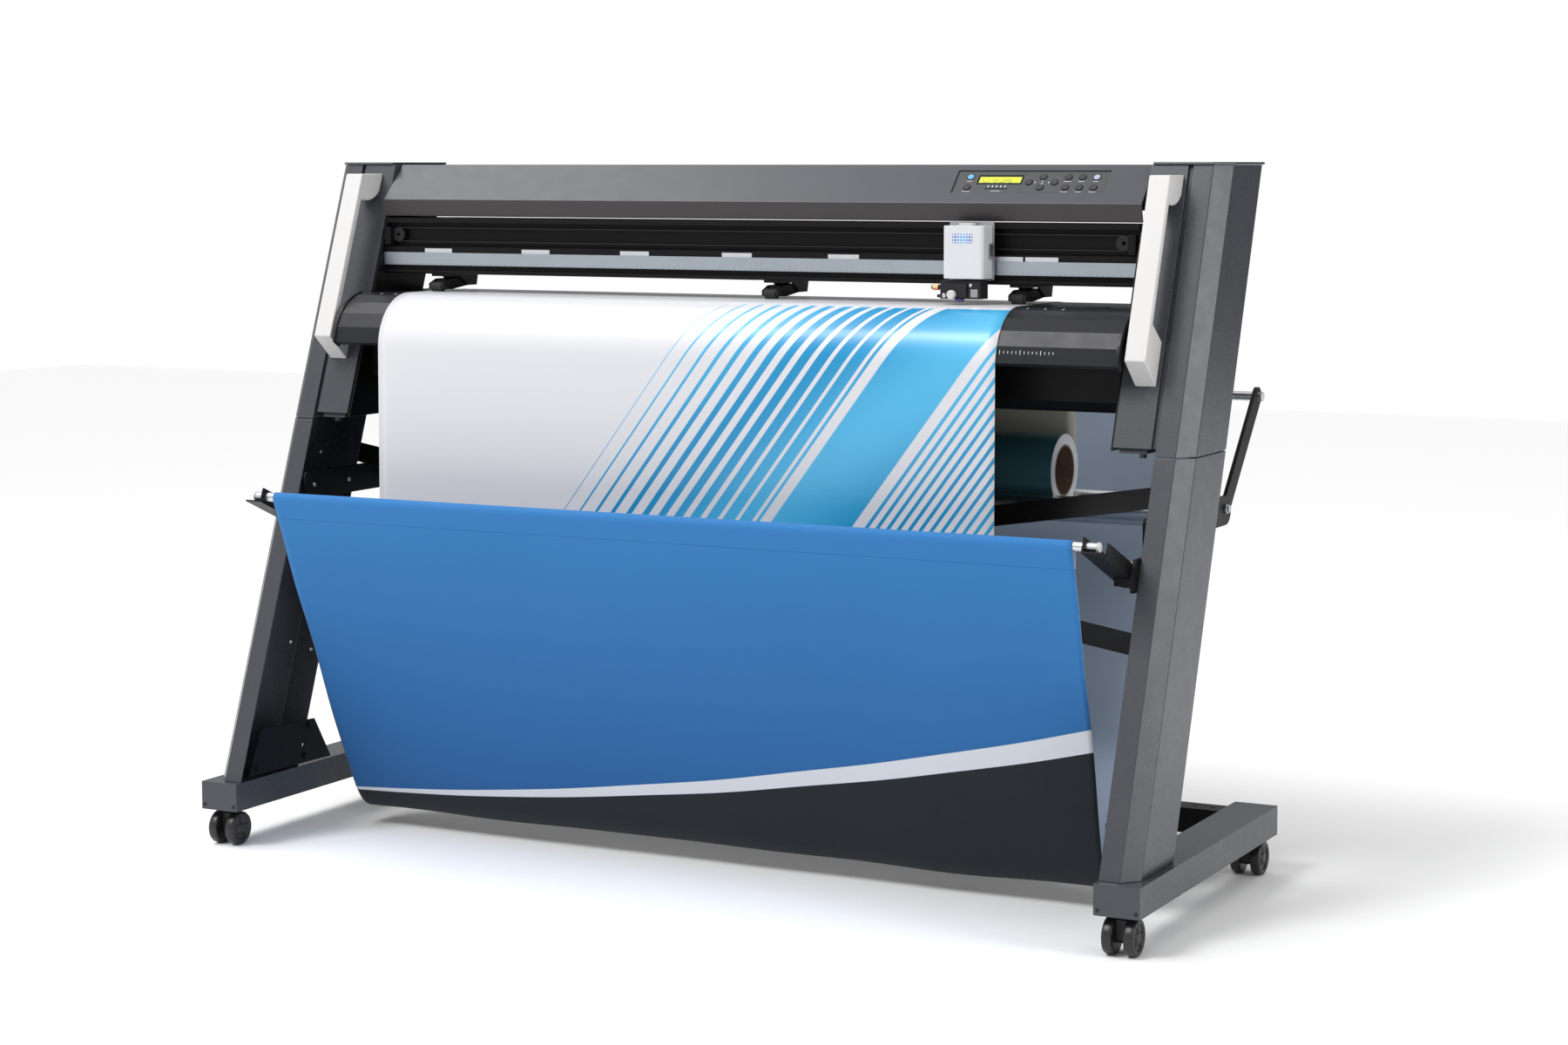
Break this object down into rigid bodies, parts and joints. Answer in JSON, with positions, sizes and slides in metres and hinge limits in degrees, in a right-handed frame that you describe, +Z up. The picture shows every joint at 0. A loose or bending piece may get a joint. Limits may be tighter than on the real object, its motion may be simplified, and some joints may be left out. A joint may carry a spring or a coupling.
{
  "type": "printer cutter",
  "caption": "Floor-standing vinyl cutter: leaning stand on casters, cutting head with carriage and pinch rollers, media roll behind and cloth catch basket",
  "frame": {"origin": "centre of the base of the bounding box, at floor level", "axes": "+X to the user's right along the cutting bed, -Y to the front where the user stands, +Z up"},
  "size_m": [1.638, 0.72, 1.122],
  "materials": {
    "body_paint": "satin",
    "black_paint": "satin",
    "white_plastic": "satin",
    "dark_plastic": "matte",
    "steel": "satin",
    "grey_metal": "satin",
    "display": "gloss",
    "teal_film": "gloss",
    "white_film": "satin",
    "blue_cloth": "woven",
    "wheel_nylon": "satin",
    "roller_rubber": "matte",
    "key_black": "satin",
    "key_blue": "gloss",
    "key_pale": "satin"
  },
  "bodies": {
    "stand": {"left_foot": "body_paint", "right_foot": "body_paint", "rear_stay": "black_paint", "left_upright": "body_paint", "right_upright": "body_paint", "stand_braces": "black_paint", "head_housings": "body_paint", "side_covers": "body_paint", "side_handles": "white_plastic", "top_cover": "body_paint", "control_panel": "dark_plastic", "display_window": "display", "guide_beam": "black_paint", "guide_strip": "steel", "bed": "black_paint", "front_apron": "body_paint", "chassis": "black_paint", "carriage_drive": "dark_plastic", "media_sheet": "white_film", "basket_brackets": "black_paint", "basket_rear_rod": "steel", "basket_cloth": "blue_cloth"},
    "carriage": {"carriage_plate": "grey_metal", "carriage_cover": "white_plastic"},
    "tool_holder": {"tool_holder": "dark_plastic"},
    "grit_shaft": {"grit_shaft": "steel"},
    "media_roll": {"media_roll": "teal_film"},
    "media_roller_front": {"media_roller_front": "steel"},
    "media_roller_rear": {"media_roller_rear": "steel"},
    "basket_front": {"basket_front_arms": "black_paint", "basket_front_rod": "steel"},
    "pinch_bracket_left": {"pinch_bracket_left": "dark_plastic"},
    "pinch_arm_left": {"pinch_arm_left": "dark_plastic"},
    "pinch_roller_left": {"pinch_roller_left": "roller_rubber"},
    "pinch_bracket_middle": {"pinch_bracket_middle": "dark_plastic"},
    "pinch_arm_middle": {"pinch_arm_middle": "dark_plastic"},
    "pinch_roller_middle": {"pinch_roller_middle": "roller_rubber"},
    "pinch_bracket_right": {"pinch_bracket_right": "dark_plastic"},
    "pinch_arm_right": {"pinch_arm_right": "dark_plastic"},
    "pinch_roller_right": {"pinch_roller_right": "roller_rubber"},
    "power_button": {"power_button": "key_blue"},
    "setup_button": {"setup_button": "key_black"},
    "arrow_left_button": {"arrow_left_button": "key_black"},
    "arrow_up_button": {"arrow_up_button": "key_black"},
    "arrow_right_button": {"arrow_right_button": "key_black"},
    "arrow_down_button": {"arrow_down_button": "key_black"},
    "key_1_button": {"key_1_button": "key_black"},
    "key_2_button": {"key_2_button": "key_black"},
    "key_3_button": {"key_3_button": "key_pale"},
    "key_4_button": {"key_4_button": "key_black"},
    "key_5_button": {"key_5_button": "key_black"},
    "key_6_button": {"key_6_button": "key_black"},
    "caster_fork_front_left": {"caster_fork_front_left": "dark_plastic"},
    "caster_wheels_front_left": {"caster_wheels_front_left": "wheel_nylon"},
    "caster_fork_front_right": {"caster_fork_front_right": "dark_plastic"},
    "caster_wheels_front_right": {"caster_wheels_front_right": "wheel_nylon"},
    "caster_fork_rear_left": {"caster_fork_rear_left": "dark_plastic"},
    "caster_wheels_rear_left": {"caster_wheels_rear_left": "wheel_nylon"},
    "caster_fork_rear_right": {"caster_fork_rear_right": "dark_plastic"},
    "caster_wheels_rear_right": {"caster_wheels_rear_right": "wheel_nylon"}
  },
  "joints": [
    {"name": "carriage_travel", "type": "slide", "parent": "stand", "child": "carriage", "axis": [1, 0, 0], "range_m": [-1.02, 0.22]},
    {"name": "tool_lift", "type": "slide", "parent": "carriage", "child": "tool_holder", "axis": [0, 0, 1], "range_m": [-0.0008, 0.002]},
    {"name": "grit_spin", "type": "hinge", "parent": "stand", "child": "grit_shaft", "pos_m": [0, -0.01, 0.8903], "axis": [1, 0, 0], "continuous": true},
    {"name": "roll_spin", "type": "hinge", "parent": "stand", "child": "media_roll", "pos_m": [0, 0.13, 0.637], "axis": [1, 0, 0], "continuous": true},
    {"name": "roller_front_spin", "type": "hinge", "parent": "stand", "child": "media_roller_front", "pos_m": [0, 0.073, 0.583], "axis": [1, 0, 0], "continuous": true},
    {"name": "roller_rear_spin", "type": "hinge", "parent": "stand", "child": "media_roller_rear", "pos_m": [0, 0.187, 0.583], "axis": [1, 0, 0], "continuous": true},
    {"name": "basket_front_lift", "type": "hinge", "parent": "stand", "child": "basket_front", "pos_m": [0, -0.185, 0.523], "axis": [-1, 0, 0], "range_deg": [0, 70]},
    {"name": "pinch_bracket_left_slide", "type": "slide", "parent": "stand", "child": "pinch_bracket_left", "axis": [1, 0, 0], "range_m": [-0.04, 0.04]},
    {"name": "pinch_arm_left_lift", "type": "hinge", "parent": "pinch_bracket_left", "child": "pinch_arm_left", "pos_m": [-0.578, 0.068, 0.9215], "axis": [-1, 0, 0], "range_deg": [0, 2]},
    {"name": "pinch_roller_left_spin", "type": "hinge", "parent": "pinch_arm_left", "child": "pinch_roller_left", "pos_m": [-0.578, -0.01, 0.9125], "axis": [1, 0, 0], "continuous": true},
    {"name": "pinch_bracket_middle_slide", "type": "slide", "parent": "stand", "child": "pinch_bracket_middle", "axis": [1, 0, 0], "range_m": [-0.04, 0.04]},
    {"name": "pinch_arm_middle_lift", "type": "hinge", "parent": "pinch_bracket_middle", "child": "pinch_arm_middle", "pos_m": [0.057, 0.068, 0.9215], "axis": [-1, 0, 0], "range_deg": [0, 2]},
    {"name": "pinch_roller_middle_spin", "type": "hinge", "parent": "pinch_arm_middle", "child": "pinch_roller_middle", "pos_m": [0.057, -0.01, 0.9125], "axis": [1, 0, 0], "continuous": true},
    {"name": "pinch_bracket_right_slide", "type": "slide", "parent": "stand", "child": "pinch_bracket_right", "axis": [1, 0, 0], "range_m": [-0.04, 0.04]},
    {"name": "pinch_arm_right_lift", "type": "hinge", "parent": "pinch_bracket_right", "child": "pinch_arm_right", "pos_m": [0.483, 0.068, 0.9215], "axis": [-1, 0, 0], "range_deg": [0, 2]},
    {"name": "pinch_roller_right_spin", "type": "hinge", "parent": "pinch_arm_right", "child": "pinch_roller_right", "pos_m": [0.483, -0.01, 0.9125], "axis": [1, 0, 0], "continuous": true},
    {"name": "power_press", "type": "slide", "parent": "stand", "child": "power_button", "axis": [0, 0.7131, -0.701], "range_m": [0, 0.0008], "stiffness_N_per_m": 800},
    {"name": "setup_press", "type": "slide", "parent": "stand", "child": "setup_button", "axis": [0, 0.7131, -0.701], "range_m": [0, 0.0008], "stiffness_N_per_m": 800},
    {"name": "arrow_left_press", "type": "slide", "parent": "stand", "child": "arrow_left_button", "axis": [0, 0.7131, -0.701], "range_m": [0, 0.0008], "stiffness_N_per_m": 800},
    {"name": "arrow_up_press", "type": "slide", "parent": "stand", "child": "arrow_up_button", "axis": [0, 0.7131, -0.701], "range_m": [0, 0.0008], "stiffness_N_per_m": 800},
    {"name": "arrow_right_press", "type": "slide", "parent": "stand", "child": "arrow_right_button", "axis": [0, 0.7131, -0.701], "range_m": [0, 0.0008], "stiffness_N_per_m": 800},
    {"name": "arrow_down_press", "type": "slide", "parent": "stand", "child": "arrow_down_button", "axis": [0, 0.7131, -0.701], "range_m": [0, 0.0008], "stiffness_N_per_m": 800},
    {"name": "key_1_press", "type": "slide", "parent": "stand", "child": "key_1_button", "axis": [0, 0.7131, -0.701], "range_m": [0, 0.0008], "stiffness_N_per_m": 800},
    {"name": "key_2_press", "type": "slide", "parent": "stand", "child": "key_2_button", "axis": [0, 0.7131, -0.701], "range_m": [0, 0.0008], "stiffness_N_per_m": 800},
    {"name": "key_3_press", "type": "slide", "parent": "stand", "child": "key_3_button", "axis": [0, 0.7131, -0.701], "range_m": [0, 0.0008], "stiffness_N_per_m": 800},
    {"name": "key_4_press", "type": "slide", "parent": "stand", "child": "key_4_button", "axis": [0, 0.7131, -0.701], "range_m": [0, 0.0008], "stiffness_N_per_m": 800},
    {"name": "key_5_press", "type": "slide", "parent": "stand", "child": "key_5_button", "axis": [0, 0.7131, -0.701], "range_m": [0, 0.0008], "stiffness_N_per_m": 800},
    {"name": "key_6_press", "type": "slide", "parent": "stand", "child": "key_6_button", "axis": [0, 0.7131, -0.701], "range_m": [0, 0.0008], "stiffness_N_per_m": 800},
    {"name": "caster_front_left_swivel", "type": "hinge", "parent": "stand", "child": "caster_fork_front_left", "pos_m": [-0.784, -0.32, 0.05], "axis": [0, 0, 1], "continuous": true},
    {"name": "caster_front_left_roll", "type": "hinge", "parent": "caster_fork_front_left", "child": "caster_wheels_front_left", "pos_m": [-0.784, -0.332, 0.0275], "axis": [1, 0, 0], "continuous": true},
    {"name": "caster_front_right_swivel", "type": "hinge", "parent": "stand", "child": "caster_fork_front_right", "pos_m": [0.784, -0.32, 0.05], "axis": [0, 0, 1], "continuous": true},
    {"name": "caster_front_right_roll", "type": "hinge", "parent": "caster_fork_front_right", "child": "caster_wheels_front_right", "pos_m": [0.784, -0.332, 0.0275], "axis": [1, 0, 0], "continuous": true},
    {"name": "caster_rear_left_swivel", "type": "hinge", "parent": "stand", "child": "caster_fork_rear_left", "pos_m": [-0.784, 0.217, 0.05], "axis": [0, 0, 1], "continuous": true},
    {"name": "caster_rear_left_roll", "type": "hinge", "parent": "caster_fork_rear_left", "child": "caster_wheels_rear_left", "pos_m": [-0.784, 0.229, 0.0275], "axis": [1, 0, 0], "continuous": true},
    {"name": "caster_rear_right_swivel", "type": "hinge", "parent": "stand", "child": "caster_fork_rear_right", "pos_m": [0.784, 0.217, 0.05], "axis": [0, 0, 1], "continuous": true},
    {"name": "caster_rear_right_roll", "type": "hinge", "parent": "caster_fork_rear_right", "child": "caster_wheels_rear_right", "pos_m": [0.784, 0.229, 0.0275], "axis": [1, 0, 0], "continuous": true}
  ],
  "couplings": [
    {"joint": "roller_front_spin", "follows": "roll_spin", "ratio": -2.9},
    {"joint": "roller_rear_spin", "follows": "roll_spin", "ratio": -2.9},
    {"joint": "pinch_arm_middle_lift", "follows": "pinch_arm_left_lift", "ratio": 1},
    {"joint": "pinch_arm_right_lift", "follows": "pinch_arm_left_lift", "ratio": 1}
  ]
}
